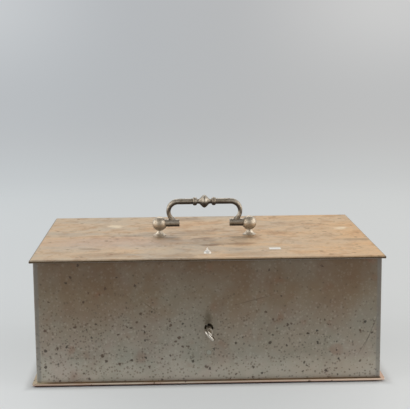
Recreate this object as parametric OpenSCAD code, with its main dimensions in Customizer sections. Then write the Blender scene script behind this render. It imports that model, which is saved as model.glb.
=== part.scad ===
// Deed box: a plated sheet-metal strongbox with a flat overhanging lid, a swinging
// bail handle on two ball posts, and a pump-key lock on the inside of the front wall.
// The origin is on the resting face, under the middle of the box. +Z is up and the
// front, with the keyhole, faces -Y.

/* [Case] */
// Width of the case across the front
body_w = 353; // [320:1:400]
// Depth of the case from front to back
body_d = 243; // [220:1:300]
// Height of the four walls
wall_h = 125; // [120:1:160]
// Thickness of the walls
wall_t = 2.5; // [2.2:0.1:3.2]
// Radius of the upright outer corners
corner_r = 1.5; // [0.5:0.1:2]
// Thickness of the base plate
base_t = 2.5; // [2.2:0.1:3.5]
// How far the base plate stands out past the walls
base_out = 4; // [2:0.5:8]
// Thickness of the felt under the base
felt_t = 1.5; // [1:0.1:2.5]
// How far the felt stays inside the edge of the base plate
felt_in = 0.8; // [0.5:0.1:8]
// Leg of the corner and base angles
angle_w = 10; // [8:0.5:12]
// Thickness of the corner and base angles
angle_t = 2; // [1.5:0.1:2.5]
// Shank radius of the screws in the base plate
base_screw_r = 1.5; // [1.2:0.1:1.8]

/* [Lid] */
// Thickness of the lid plate
lid_t = 3; // [2.6:0.1:4]
// How far the lid stands out past the walls
lid_out = 3.5; // [2:0.1:6]
// Daylight between the closed lid and the walls
lid_gap = 0.2; // [0.1:0.05:0.5]
// Width of the bevel round the top of the lid
bevel_w = 1.4; // [0.5:0.1:2.4]
// Depth of the bevel round the top of the lid
bevel_h = 0.9; // [0.3:0.1:1.6]
// Height of the strips under the lid
rim_h = 8; // [5:0.5:9]
// Thickness of the strips under the lid
rim_t = 2; // [1.5:0.1:3]
// Space between the strips and the walls
rim_gap = 0.5; // [0.4:0.1:1]
// Radius of the small stud near the front of the lid
stud_r = 4; // [3:0.1:5]
// Distance of the stud from the front edge of the lid
stud_back = 26; // [24:0.5:32]

/* [Handle] */
// Distance from the middle to each post
post_x = 50; // [44:0.5:70]
// Radius of the ball on each post
ball_r = 8.4; // [7:0.1:9]
// Height of the ball's middle over the lid
ball_h = 13.4; // [12:0.1:16]
// How far the pivot lies above the middle of the ball
pivot_rise = 1; // [0:0.1:1.5]
// Radius of the foot of each post
foot_r = 7.8; // [6:0.1:9]
// Radius of the bail's pivot barrels
trunnion_r = 4.2; // [3.5:0.1:4.8]
// Height of the middle of the grip over the lid
grip_h = 38.5; // [34:0.5:46]
// Radius of the grip beside its turned middle
grip_r = 3.2; // [2.7:0.1:3.5]
// Radius of the arms of the bail
arm_r = 2.5; // [1.8:0.1:2.6]
// Radius of the bend between the grip and each arm
arm_bend = 11; // [9:0.5:12]
// Radius of the bead in the middle of the grip
bead_r = 7.2; // [6:0.1:8.5]
// Radius of the thread that holds each post
post_screw_r = 3; // [2.5:0.1:3.5]

/* [Hinges] */
// Distance from the middle to the middle of each hinge
hinge_x = 110; // [80:1:120]
// Length of each hinge
hinge_l = 60; // [45:1:70]
// Radius of the hinge knuckles
knuckle_r = 3; // [2.6:0.1:3.2]
// Radius of the hinge pins
pin_r = 1.5; // [1.2:0.1:1.7]
// Thickness of the hinge leaves
leaf_t = 2; // [1.6:0.1:2.2]
// Length of the hinge leaves away from the pin
leaf_w = 26; // [20:0.5:32]

/* [Lock] */
// Height of the keyhole over the resting face
key_z = 59; // [54:0.5:63]
// Radius of the keyhole
keyhole_r = 4.5; // [4.4:0.05:5]
// Width of the lock case
lock_w = 104; // [102:1:120]
// Depth inside the lock case
lock_in = 15; // [15:0.5:18]
// Thickness of the lock's sheet metal
lock_t = 1.6; // [1.2:0.1:2]
// Radius of the lock barrel
barrel_r = 7; // [6.8:0.1:7.6]
// Thickness of the bolt
bolt_t = 4; // [3:0.1:4.2]
// Height of the bolt's tongues
tongue_h = 6; // [5:0.1:7]
// Thickness of the two staples that the tongues enter
staple_t = 4; // [3:0.1:5]
// Distance from the middle to each staple
staple_x = 20; // [19:0.5:21]

/* [Key] */
// Radius of the key's tube
shank_r = 2.8; // [2.5:0.05:2.9]
// Distance from the front wall to the middle of the key's bow
bow_out = 28; // [24:0.5:34]
// Radius of the wire of the bow
bow_wire_r = 1.5; // [1:0.1:2]
// Half length of the bow along the key, at the middle of its wire
bow_r = 5.2; // [4.5:0.1:7]
// Straight stretch that widens the bow
bow_wide = 2; // [0.5:0.1:6]
// Angle at which the key is left in the lock, clockwise from upright
bow_rest = -40; // [-45:1:-30]

/* [Hidden] */
$fn = 64;
eps = 0.01;
// Clearance of a screw, pin or stud in its hole
fit = 0.05;

// Heights
base_z = felt_t;
floor_z = base_z + base_t;
wall_top = floor_z + wall_h;
lid_z = wall_top + lid_gap;
lid_top = lid_z + lid_t;

// Faces of the walls
side_x = body_w / 2;
side_in = side_x - wall_t;
front_y = -body_d / 2;
front_in = front_y + wall_t;
back_y = body_d / 2;
back_in = back_y - wall_t;

// Edges of the lid and its strips
lid_x = side_x + lid_out;
lid_y = body_d / 2 + lid_out;
ease = 0.4;
rim_x = side_in - rim_gap;
rim_y = front_in + rim_gap;
rim_back = back_in - 2 * leaf_w / 3;

// Hinge line, under the rear overhang of the lid
knuckle_gap = 0.3;
hinge_y = back_y;
hinge_z = lid_z - knuckle_r - knuckle_gap;
knuckles = 5;
knuckle_l = hinge_l / knuckles;
pin_head = 1;
lid_block = 3;
hole_end = 7.8;
hole_step = hinge_l / 2 - hole_end;
hole_drop = 15.6;
rivet_r = 1.9;

// Handle
pivot_z = lid_top + ball_h + pivot_rise;
grip_z = lid_top + grip_h;
barrel_reach_in = 22;
barrel_reach_out = 3;
trunnion_in = post_x - barrel_reach_in;
trunnion_out = post_x + barrel_reach_out;
arm_in = 9.8;
arm_x = post_x - arm_in;
arm_sweep = 11.5;
lower_arm_r = arm_r - 0.1;
collar_x = 10.6;
collar_half = 2.5;
collar_r = grip_r + 1.4;
neck_r = grip_r - 0.4;
bead_half = 6.3;
post_neck_r = 2.8;
post_foot_rim = 0.8;
post_neck_rise = 0.6;
thread_out = 1;
washer_t = 1.2;
washer_r = 7;
nut_t = 4.5;
nut_af = 10;

// Lock: depths are taken from the inside of the front wall
cover_u = lock_t + lock_in;
case_below_lid = 9.2;
case_below_key = 35;
lock_top = lid_z - case_below_lid;
lock_low = key_z - case_below_key;
boss_r = 3.5;
cover_screw_r = 1.25;
module_m = 1;
teeth = 12;
pressure = 25;
backlash = 0.1;
pitch_r = module_m * teeth / 2;
quarter = 90;
travel = pitch_r * quarter * PI / 180;
addendum = 0.9 * module_m;
dedendum = 1.25 * module_m;
bolt_depth = 7.2;
bolt_u = lock_t + bolt_depth;
guide_rim = 2;
bolt_slack = 0.2;
pinion_u = bolt_u - 0.2;
ring_t = 3;
slider_t = 1;
slider_l = 3;
slider_u = lock_t + ring_t + 0.4;
slider_out = barrel_r + 1.2;
slot_end = slider_u + slider_l + 0.1;
bore_end = pinion_u + bolt_t + 0.4;
key_tip = slider_u - 0.1;
key_bore_r = shank_r - 1.3;
drill_r = key_bore_r - 0.3;
lug_w = 1.6;
lug_r = keyhole_r - 0.2;
journal_r = 3.5;
stud_below_key = 26;
stud_z = key_z - stud_below_key;
stud_shank_r = 2;
flush_stud_r = stud_shank_r + 1;
upper_stud_x = 36;
small_nut_af = 7;
small_nut_t = 3;

// Bolt and staples
tongue_below_lid = 16.2;
tongue_z = lid_z - tongue_below_lid;
loop_gap_y = 0.4;
loop_gap_z = 0.6;
loop_wall = 2.2;
loop_foot = 2.4;
loop_corner = 1.4;
loop_y = front_in + bolt_u + bolt_t / 2;
loop_half = bolt_t / 2 + loop_gap_y + loop_wall;
loop_low = tongue_z - tongue_h / 2 - loop_gap_z;
bar_top = loop_low - loop_half - 1;
bar_h = 20;
bar_low = bar_top - bar_h;
guide_x = 15;
guide_r = 3;
guide_slot = 0.3;
guide_z = bar_low + bar_h / 2;
tip_gap = 1;
riser_w = 8;
bar_left = -staple_x - staple_t / 2 - tip_gap - travel - riser_w;
bar_margin = 5;
bar_right = guide_x + guide_r + bar_margin;
keeper_t = 2;
keeper_w = 72;
keeper_y = rim_y + rim_t + rim_gap;
stud_y = -lid_y + stud_back;
keeper_margin = 7;
keeper_back = stud_y + keeper_margin;
keeper_screw_x = 29;
screw_r = 1.4;
screw_head_r = screw_r + 1.2;
screw_deep = 1.9;
slot_w = 0.7;
slot_deep = 0.6;
base_screw_in_x = 52;
base_screw_in_y = 65;

// Spring round the drill pin
spring_turns = 4;
spring_steps = 16;
spring_wire = 0.3;
spring_r = 2.05;

steel = [0.52, 0.50, 0.44];
tan_steel = [0.74, 0.66, 0.56];
nickel = [0.62, 0.59, 0.53];
copper = [0.66, 0.55, 0.47];
brass = [0.70, 0.60, 0.36];
dark = [0.24, 0.22, 0.20];
maroon = [0.23, 0.15, 0.13];

// A rectangle with true round corners, centred.
module round_rect(w, d, r) {
    square([w - 2 * r, d], center = true);
    square([w, d - 2 * r], center = true);
    for (sx = [-1, 1]) for (sy = [-1, 1])
        translate([sx * (w / 2 - r), sy * (d / 2 - r)]) circle(r);
}

// A box given by its lowest and highest corners.
module block(low, high) {
    translate(low) cube(high - low);
}

// Places work on the inside of the front wall: its x is the width, its y is the
// height above z, and its z runs into the case from the depth u.
module on_front(u, z = 0) {
    translate([0, front_in + u, z]) rotate([90, 0, 0]) mirror([0, 0, 1]) children();
}

// Turns work that is placed by on_front to the angle at which the key rests.
module at_key_angle() {
    rotate(-bow_rest) children();
}

// A solid turned about the x axis from a profile of (radius, place) points.
module turned_x() {
    rotate([0, 90, 0]) rotate_extrude() children();
}

// The slot of a screw whose head faces down at z = 0.
module screw_slot(head_r) {
    translate([-head_r - 1, -slot_w / 2, -1]) cube([2 * head_r + 2, slot_w, slot_deep + 1]);
}

// A slotted countersunk screw, head down, standing up from z = 0.
module flat_screw(r, head_r, long) {
    difference() {
        union() {
            cylinder(r = r, h = long);
            cylinder(r1 = head_r, r2 = r, h = head_r - r);
        }
        screw_slot(head_r);
    }
}

// The hole for such a screw.
module flat_screw_hole(r, head_r, long) {
    translate([0, 0, -eps]) cylinder(r = r + fit, h = long + eps);
    translate([0, 0, -eps]) cylinder(r1 = head_r + fit + eps, r2 = r + fit, h = head_r - r + eps);
}

// One wall: the strip of the rounded outline between two corners, with the walls' height.
module wall(low, high) {
    translate([0, 0, floor_z])
        linear_extrude(wall_h)
            intersection() {
                round_rect(body_w, body_d, corner_r);
                translate(low) square(high - low);
            }
}

module front_wall() {
    color(steel)
        difference() {
            wall([-side_x, front_y], [side_x, front_in]);
            on_front(-wall_t - 1, key_z) cylinder(r = keyhole_r, h = wall_t + 2);
            on_front(-wall_t - 1, stud_z) cylinder(r = flush_stud_r + fit, h = wall_t + 2);
        }
}

module back_wall() {
    notch_half = hinge_l / 2 + pin_head + 0.5;
    color(steel)
        difference() {
            wall([-side_x, back_in], [side_x, back_y]);
            for (s = [-1, 1])
                block([s * hinge_x - notch_half, back_in - 1, hinge_z - knuckle_r - 0.4],
                      [s * hinge_x + notch_half, back_y + 1, wall_top + 1]);
            for (p = rivet_places())
                translate([p[0], back_in - 1, p[1]]) rotate([-90, 0, 0]) rivet_hole(wall_t + 2);
        }
}

module side_wall(s) {
    color(steel)
        wall([min(s * side_x, s * side_in), front_in], [max(s * side_x, s * side_in), back_in]);
}

// Angle strips brazed into the upright corners.
module corner_angles() {
    low = floor_z + angle_w + 1;
    high = lid_z - rim_h - 3;
    color(steel)
        for (sx = [-1, 1]) for (sy = [-1, 1])
            scale([sx, sy, 1])
                translate([side_in - angle_w, back_in - angle_w, low])
                    linear_extrude(high - low)
                        difference() {
                            square(angle_w);
                            square(angle_w - angle_t);
                        }
}

// The places of the base screws: three along the front and the back, two along each side.
function base_screw_places() = [
    for (sy = [-1, 1]) for (i = [-1, 0, 1])
        [i * (side_in - base_screw_in_x), sy * (back_in - angle_w / 2)],
    for (sx = [-1, 1]) for (i = [-1, 1])
        [sx * (side_in - angle_w / 2), i * (back_in - base_screw_in_y)]
];

// One base angle, lying along x with its upright leg at y = 0.
module base_angle(long) {
    translate([-long / 2, 0, 0])
        rotate([90, 0, 90])
            linear_extrude(long)
                difference() {
                    square(angle_w);
                    translate([angle_t, angle_t]) square(angle_w);
                }
}

module base_angles() {
    color(steel)
        difference() {
            translate([0, 0, floor_z])
                for (turn = [0, 180]) rotate(turn) {
                    translate([0, front_in, 0]) base_angle(2 * side_in);
                    translate([-side_in, 0, 0])
                        rotate(-90) base_angle(2 * (back_in - angle_w) - 1);
                }
            for (p = base_screw_places())
                translate([p[0], p[1], base_z])
                    cylinder(r = base_screw_r + fit, h = base_t + angle_t + 1);
        }
}

module base_plate() {
    color(copper)
        difference() {
            translate([0, 0, base_z])
                linear_extrude(base_t)
                    round_rect(body_w + 2 * base_out, body_d + 2 * base_out, corner_r);
            for (p = base_screw_places())
                translate([p[0], p[1], base_z])
                    flat_screw_hole(base_screw_r, 2 * base_screw_r, base_t + 1);
        }
}

module base_screws() {
    color(dark)
        for (p = base_screw_places())
            translate([p[0], p[1], base_z])
                flat_screw(base_screw_r, 2 * base_screw_r, base_t + angle_t);
}

module base_felt() {
    color(maroon)
        linear_extrude(felt_t)
            round_rect(body_w + 2 * (base_out - felt_in), body_d + 2 * (base_out - felt_in), corner_r);
}

// Hinges. Knuckles 0, 2 and 4 belong to the case, 1 and 3 to the lid.
function knuckle_start(i) = -hinge_l / 2 + i * knuckle_l + knuckle_gap / 2;

module knuckle(i) {
    translate([knuckle_start(i), hinge_y, hinge_z])
        rotate([0, 90, 0]) cylinder(r = knuckle_r, h = knuckle_l - knuckle_gap);
}

module knuckle_box(i, low_y, high_y, low_z, high_z) {
    x = knuckle_start(i);
    block([x, hinge_y + low_y, hinge_z + low_z],
          [x + knuckle_l - knuckle_gap, hinge_y + high_y, hinge_z + high_z]);
}

module pin_bore() {
    translate([-hinge_l, hinge_y, hinge_z])
        rotate([0, 90, 0]) cylinder(r = pin_r + fit, h = 2 * hinge_l);
}

// Rivets through the case leaves, as (x, z) on the back wall.
function rivet_places() = [
    for (s = [-1, 1]) for (i = [-1, 0, 1]) [s * hinge_x + i * hole_step, hinge_z - hole_drop]
];

module rivet_hole(long) {
    cylinder(r = rivet_r + fit, h = long);
}

// The leaf on the inside of the back wall.
module hinge_case_leaf() {
    plate_top = -knuckle_r + 0.4;
    color(nickel)
        difference() {
            union() {
                block([-hinge_l / 2, back_in - leaf_t, hinge_z - leaf_w],
                      [hinge_l / 2, back_in, hinge_z + plate_top]);
                for (i = [0, 2, 4]) {
                    knuckle(i);
                    knuckle_box(i, -wall_t - leaf_t, 0, -knuckle_r, 0);
                }
            }
            pin_bore();
            for (i = [-1, 0, 1])
                translate([i * hole_step, back_in - leaf_t - 1, hinge_z - hole_drop])
                    rotate([-90, 0, 0]) rivet_hole(leaf_t + 2);
        }
}

// The leaf under the lid.
module hinge_lid_leaf() {
    top = knuckle_r + knuckle_gap;
    color(nickel)
        difference() {
            union() {
                block([-hinge_l / 2, hinge_y - leaf_w, lid_z - leaf_t],
                      [hinge_l / 2, hinge_y - knuckle_r - 0.6, lid_z]);
                for (i = [1, 3]) {
                    knuckle(i);
                    knuckle_box(i, -knuckle_r - lid_block, 0, 0, top);
                }
            }
            pin_bore();
            for (i = [-1, 0, 1])
                translate([i * hole_step, hinge_y - hole_drop, lid_z - leaf_t])
                    flat_screw_hole(screw_r, screw_head_r, leaf_t + 1);
        }
}

module hinge_pin() {
    color(nickel)
        translate([0, hinge_y, hinge_z])
            rotate([0, 90, 0]) {
                cylinder(r = pin_r, h = hinge_l + pin_head, center = true);
                for (s = [-1, 1])
                    translate([0, 0, s * (hinge_l / 2 + pin_head / 2)])
                        cylinder(r = pin_r + 1, h = pin_head, center = true);
            }
}

module hinge_rivets() {
    head_h = 1.3;
    color(nickel)
        for (p = rivet_places())
            translate([p[0], back_in - leaf_t, p[1]])
                rotate([-90, 0, 0]) {
                    cylinder(r = rivet_r, h = leaf_t + wall_t);
                    translate([0, 0, -head_h]) cylinder(r1 = rivet_r - 0.3, r2 = rivet_r + 1.4, h = head_h);
                }
}

// Lid
module lid_outline(half) {
    polygon([
        [-half + ease, 0], [half - ease, 0], [half, ease], [half, lid_t - bevel_h],
        [half - bevel_w, lid_t], [-half + bevel_w, lid_t], [-half, lid_t - bevel_h], [-half, ease]
    ]);
}

module lid_plate() {
    color(tan_steel)
        difference() {
            translate([0, 0, lid_z])
                intersection() {
                    translate([0, lid_y + 1, 0]) rotate([90, 0, 0])
                        linear_extrude(2 * lid_y + 2) lid_outline(lid_x);
                    translate([-lid_x - 1, 0, 0]) rotate([90, 0, 90])
                        linear_extrude(2 * lid_x + 2) lid_outline(lid_y);
                }
            for (s = [-1, 1])
                translate([s * post_x, 0, lid_z - 1]) cylinder(r = post_screw_r + fit, h = lid_t + 2);
            translate([0, stud_y, lid_z - 1]) cylinder(r = stud_shank() + fit, h = lid_t + 2);
            for (p = lid_screw_places())
                translate([p[0], p[1], lid_z - eps]) cylinder(r = screw_r + fit, h = screw_deep + 0.1);
        }
}

// Screws that go up into the lid: three in each hinge leaf and two in the keeper.
function lid_screw_places() = [
    for (s = [-1, 1]) for (i = [-1, 0, 1])
        [s * hinge_x + i * hole_step, hinge_y - hole_drop, leaf_t],
    for (s = [-1, 1]) [s * keeper_screw_x, stud_y, keeper_t]
];

module lid_screws() {
    color(dark)
        for (p = lid_screw_places())
            translate([p[0], p[1], lid_z - p[2]])
                flat_screw(screw_r, screw_head_r, p[2] + screw_deep);
}

module lid_rim_front() {
    color(steel)
        block([-rim_x + rim_t + fit, rim_y, lid_z - rim_h], [rim_x - rim_t - fit, rim_y + rim_t, lid_z]);
}

module lid_rim_side(s) {
    color(steel)
        block([min(s * rim_x, s * (rim_x - rim_t)), rim_y, lid_z - rim_h],
              [max(s * rim_x, s * (rim_x - rim_t)), rim_back, lid_z]);
}

function stud_shank() = stud_r * 0.45;

// The small domed stud near the front of the lid, riveted through the keeper.
module lid_stud() {
    dome_h = stud_r * 0.75;
    tail_h = 1;
    nib_low_r = 1.1;
    nib_top_r = 0.5;
    color(nickel)
        translate([0, stud_y, 0]) {
            translate([0, 0, lid_z - keeper_t - eps]) cylinder(r = stud_shank(), h = lid_t + keeper_t + 1);
            translate([0, 0, lid_z - keeper_t - tail_h]) cylinder(r = 2 * stud_shank(), h = tail_h);
            translate([0, 0, lid_top])
                intersection() {
                    cylinder(r = stud_r, h = dome_h);
                    translate([0, 0, dome_h - dome_sphere()]) sphere(r = dome_sphere());
                }
            translate([0, 0, lid_top + dome_h - 0.3]) cylinder(r1 = nib_low_r, r2 = nib_top_r, h = dome_h);
        }
}
// Radius of the sphere whose cap has the stud's width and height.
function dome_sphere() = (stud_r * stud_r + pow(stud_r * 0.75, 2)) / (2 * stud_r * 0.75);

// The plate under the lid with the two staples that the bolt catches.
module keeper() {
    color(nickel)
        difference() {
            union() {
                block([-keeper_w / 2, keeper_y, lid_z - keeper_t], [keeper_w / 2, keeper_back, lid_z]);
                for (s = [-1, 1])
                    translate([s * staple_x - staple_t / 2, loop_y, 0]) {
                        block([0, -loop_half, loop_low - loop_foot + loop_corner],
                              [staple_t, loop_half, lid_z - eps]);
                        for (side = [-1, 1])
                            translate([0, side * (loop_half - loop_corner), loop_low - loop_foot + loop_corner])
                                rotate([0, 90, 0]) cylinder(r = loop_corner, h = staple_t);
                        block([0, -loop_half + loop_corner, loop_low - loop_foot],
                              [staple_t, loop_half - loop_corner, loop_low]);
                    }
            }
            block([-staple_x - staple_t, loop_y - bolt_t / 2 - loop_gap_y, loop_low],
                  [staple_x + staple_t, loop_y + bolt_t / 2 + loop_gap_y,
                   tongue_z + tongue_h / 2 + loop_gap_z]);
            translate([0, stud_y, lid_z - keeper_t - 1]) cylinder(r = stud_shank() + fit, h = keeper_t + 2);
            for (s = [-1, 1])
                translate([s * keeper_screw_x, stud_y, lid_z - keeper_t])
                    flat_screw_hole(screw_r, screw_head_r, keeper_t + 1);
        }
}

// Outline of the bell-shaped foot of a post: from its low rim in a shallow hollow curve
// to the neck, just inside the ball.
module post_foot_shape() {
    neck_z = ball_h - ball_r + post_neck_rise;
    run = foot_r - post_neck_r;
    rise = neck_z - post_foot_rim;
    chord = norm([run, rise]);
    hollow_r = 1.6 * chord;
    back = sqrt(hollow_r * hollow_r - chord * chord / 4);
    difference() {
        polygon([[0, 0], [foot_r, 0], [foot_r, post_foot_rim], [post_neck_r, neck_z], [0, neck_z]]);
        translate([foot_r - run / 2 + back * rise / chord, post_foot_rim + rise / 2 + back * run / chord])
            circle(hollow_r);
    }
}

// Handle posts: a bell-shaped foot, a narrow neck and a bored ball.
module handle_post(s) {
    shank_l = lid_t + washer_t + nut_t + thread_out;
    color(nickel)
        difference() {
            translate([s * post_x, 0, lid_top]) {
                rotate_extrude() post_foot_shape();
                cylinder(r = post_neck_r, h = ball_h);
                translate([0, 0, ball_h]) sphere(ball_r);
                translate([0, 0, -shank_l]) cylinder(r = post_screw_r, h = shank_l + 1);
            }
            translate([s * (post_x - ball_r - 1), 0, pivot_z])
                rotate([0, s * 90, 0])
                    cylinder(r = trunnion_r + fit, h = ball_r + 1 + trunnion_out - post_x + fit);
        }
}

module post_washers() {
    color(nickel)
        for (s = [-1, 1])
            translate([s * post_x, 0, lid_z - washer_t])
                difference() {
                    cylinder(r = washer_r, h = washer_t);
                    translate([0, 0, -1]) cylinder(r = post_screw_r + fit, h = washer_t + 2);
                }
}

// A hexagonal nut with its axis on z.
module hex_nut(af, r, h) {
    difference() {
        cylinder(r = af / sqrt(3), h = h, $fn = 6);
        translate([0, 0, -1]) cylinder(r = r + fit, h = h + 2);
    }
}

module post_nuts() {
    color(nickel)
        for (s = [-1, 1])
            translate([s * post_x, 0, lid_z - washer_t - nut_t]) hex_nut(nut_af, post_screw_r, nut_t);
}

// One arm of the bail on the +x side: up from the barrel in a shallow sweep, then
// round the bend to the straight grip.
module bail_arm() {
    rise = grip_z - arm_bend - pivot_z;
    drop = asin(min(1, (rise - trunnion_r * 0.7) / arm_sweep));
    lap = 1;
    translate([arm_x - arm_bend, 0, grip_z - arm_bend])
        rotate([90, 0, 0]) rotate_extrude(angle = 90) translate([arm_bend, 0]) circle(arm_r);
    translate([arm_x - arm_sweep, 0, grip_z - arm_bend])
        rotate([90, drop, 0])
            rotate_extrude(angle = drop + lap) translate([arm_sweep, 0]) circle(lower_arm_r);
    translate([trunnion_in, 0, pivot_z])
        rotate([0, 90, 0]) cylinder(r = trunnion_r, h = trunnion_out - trunnion_in);
}

// Profile of the grip as (radius, place along x): a taper, a rounded ring, the bead
// with its hollow flanks, and the same again.
function ring_profile(middle) = [
    for (a = [-90:22.5:90]) [neck_r + (collar_r - neck_r) * cos(a), middle + collar_half * sin(a)]
];
function bead_profile() = [
    for (t = [-1:0.125:1])
        [neck_r + (bead_r - neck_r) * pow(0.5 + 0.5 * cos(180 * t), 0.9), bead_half * t]
];

module grip() {
    half = arm_x - arm_bend;
    spigot_r = lower_arm_r;
    spigot_end = half + 0.5;
    turned_x()
        polygon(concat(
            [[0, -spigot_end], [spigot_r, -spigot_end], [arm_r, -half], [grip_r, -collar_x - collar_half]],
            ring_profile(-collar_x), bead_profile(), ring_profile(collar_x),
            [[grip_r, collar_x + collar_half], [arm_r, half], [spigot_r, spigot_end], [0, spigot_end]]
        ));
}

// The bail: two arms with their pivot barrels, and the grip.
module bail() {
    color(nickel) {
        bail_arm();
        mirror([1, 0, 0]) bail_arm();
        translate([0, 0, grip_z]) grip();
    }
}

// Lock case: a pan with its floor on the front wall, closed by the cover.
function boss_places() = [
    for (sx = [-1, 1]) for (z = [lock_low + lock_t + boss_r, lock_top - lock_t - boss_r])
        [sx * (lock_w / 2 - lock_t - boss_r), z]
];
function lock_stud_places() = [[0, stud_z], [-upper_stud_x, guide_z], [upper_stud_x, guide_z]];

module lock_case() {
    color(steel)
        difference() {
            union() {
                difference() {
                    block([-lock_w / 2, front_in, lock_low], [lock_w / 2, front_in + cover_u, lock_top]);
                    block([-lock_w / 2 + lock_t, front_in + lock_t, lock_low + lock_t],
                          [lock_w / 2 - lock_t, front_in + cover_u + 1, lock_top - lock_t]);
                }
                for (p = boss_places())
                    on_front(eps, p[1]) translate([p[0], 0]) cylinder(r = boss_r + eps, h = cover_u - eps);
            }
            for (s = [-1, 1])
                block([s * staple_x - staple_t / 2 - 1, front_in + lock_t, lock_top - lock_t - 1],
                      [s * staple_x + staple_t / 2 + 1, front_in + cover_u + 1, lock_top + 1]);
            on_front(-1, key_z) cylinder(r = keyhole_r, h = lock_t + 2);
            for (p = lock_stud_places())
                on_front(-1, p[1]) translate([p[0], 0]) cylinder(r = stud_shank_r + fit, h = lock_t + 2);
            for (s = [-1, 1])
                on_front(-1, guide_z) translate([s * guide_x, 0])
                    cylinder(r = guide_r - 1 + fit, h = lock_t + 2);
            for (p = boss_places())
                on_front(lock_t + 3, p[1]) translate([p[0], 0])
                    cylinder(r = cover_screw_r + fit, h = cover_u);
        }
}

module lock_cover() {
    color(steel)
        difference() {
            block([-lock_w / 2, front_in + cover_u, lock_low],
                  [lock_w / 2, front_in + cover_u + lock_t, lock_top]);
            on_front(cover_u - 1, key_z) cylinder(r = journal_r + fit, h = lock_t + 2);
            for (p = boss_places())
                on_front(cover_u - 1, p[1]) translate([p[0], 0])
                    cylinder(r = cover_screw_r + fit, h = lock_t + 2);
        }
}

module cover_screws() {
    head_h = 1.2;
    shank_l = 8;
    color(brass)
        for (p = boss_places())
            translate([p[0], 0, 0]) {
                on_front(cover_u - shank_l, p[1]) cylinder(r = cover_screw_r, h = shank_l + lock_t + eps);
                on_front(cover_u + lock_t + head_h, p[1])
                    mirror([0, 0, 1])
                        difference() {
                            cylinder(r = 2 * cover_screw_r, h = head_h);
                            screw_slot(2 * cover_screw_r);
                        }
            }
}

// Studs that hold the lock case. The lowest goes through the wall and is filed flush;
// the other two are brazed to the inside of it.
module lock_studs() {
    stud_l = lock_t + 3.8;
    color(nickel)
        for (p = lock_stud_places())
            translate([p[0], 0, 0]) {
                on_front(0, p[1]) cylinder(r = stud_shank_r, h = stud_l);
                if (p[0] == 0)
                    on_front(-wall_t, p[1]) cylinder(r = flush_stud_r, h = wall_t);
            }
}

module lock_nuts() {
    color(dark)
        for (p = lock_stud_places())
            on_front(lock_t, p[1]) translate([p[0], 0]) hex_nut(small_nut_af, stud_shank_r, small_nut_t);
}

// Shouldered studs on which the bolt slides.
module bolt_guides() {
    color(brass)
        for (s = [-1, 1])
            translate([s * guide_x, 0, 0]) {
                on_front(0, guide_z) cylinder(r = guide_r - 1, h = lock_t + 1);
                on_front(lock_t, guide_z) cylinder(r = guide_r + 1.5, h = bolt_u - lock_t - 0.2);
                on_front(lock_t, guide_z) cylinder(r = guide_r, h = cover_u - lock_t);
            }
}

// Collars that keep the bolt on its guides.
module guide_collars() {
    low = bolt_u + bolt_t + bolt_slack;
    color(brass)
        for (s = [-1, 1])
            on_front(low, guide_z) translate([s * guide_x, 0])
                difference() {
                    cylinder(r = guide_r + guide_rim, h = cover_u - low);
                    translate([0, 0, -1]) cylinder(r = guide_r + fit, h = cover_u);
                }
}

// The four diagonal places of the sliders round the barrel.
module four_ways() {
    for (a = [45, 135, 225, 315]) rotate(a) children();
}

// The ring round the barrel. Sliders that stand forward sit in its notches.
module locking_ring() {
    notch_w = slider_t + 0.4;
    color(brass)
        on_front(lock_t, key_z)
            difference() {
                cylinder(r = slider_out + 4, h = ring_t);
                translate([0, 0, -1]) cylinder(r = barrel_r + fit, h = ring_t + 2);
                at_key_angle() four_ways()
                    translate([0, -notch_w / 2, -1]) cube([slider_out + 0.4, notch_w, ring_t + 2]);
            }
}

// Flank of an involute tooth: points from the base circle to the tip, as (radius, angle
// from the middle of the tooth).
function involute(a) = tan(a) * 180 / PI - a;
function flank_angle(r, half) =
    half + involute(pressure) - involute(acos(min(1, pitch_r * cos(pressure) / r)));

module pinion_shape() {
    steps = 5;
    tip_r = pitch_r + addendum;
    root_r = pitch_r - dedendum;
    base_r = pitch_r * cos(pressure);
    half = (PI * module_m / 2 - backlash) / 2 / pitch_r * 180 / PI;
    radii = [for (i = [0:steps]) base_r + (tip_r - base_r) * i / steps];
    left = [for (r = radii) [r, flank_angle(r, half)]];
    one_side = concat([[root_r, flank_angle(base_r, half)]], left);
    turn_step = 360 / teeth;
    polygon([
        for (i = [0:teeth - 1])
            for (k = [0:2 * len(one_side) - 1])
                let (rising = k < len(one_side))
                let (p = one_side[rising ? k : 2 * len(one_side) - 1 - k])
                let (a = 90 + (i + 0.5) * turn_step + (rising ? -p[1] : p[1]))
                p[0] * [cos(a), sin(a)]
    ]);
}

// The barrel: slotted front part, pinion, and the journal in the cover.
module barrel() {
    color(brass)
        on_front(0, key_z)
            difference() {
                union() {
                    translate([0, 0, lock_t + 0.1]) cylinder(r = barrel_r, h = pinion_u - 0.2 - lock_t - 0.1);
                    translate([0, 0, pinion_u - 0.2]) linear_extrude(bolt_t + 0.6) pinion_shape();
                    translate([0, 0, pinion_u])
                        cylinder(r = pitch_r - dedendum, h = cover_u - 0.1 - pinion_u);
                    translate([0, 0, cover_u - 0.2]) cylinder(r = journal_r, h = lock_t + 0.6);
                }
                translate([0, 0, lock_t - 1]) cylinder(r = shank_r + 0.1, h = bore_end - lock_t + 1);
                cylinder(r = drill_r + fit, h = cover_u - 0.5);
                at_key_angle() {
                    translate([-lug_w / 2 - 0.1, 0, lock_t - 1])
                        cube([lug_w + 0.2, lug_r + 0.2, key_tip + 0.2 - lock_t + 1]);
                    four_ways()
                        translate([0, -slider_t / 2 - fit, lock_t - 1])
                            cube([barrel_r + 1, slider_t + 2 * fit, slot_end - lock_t + 1]);
                }
            }
}

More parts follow.
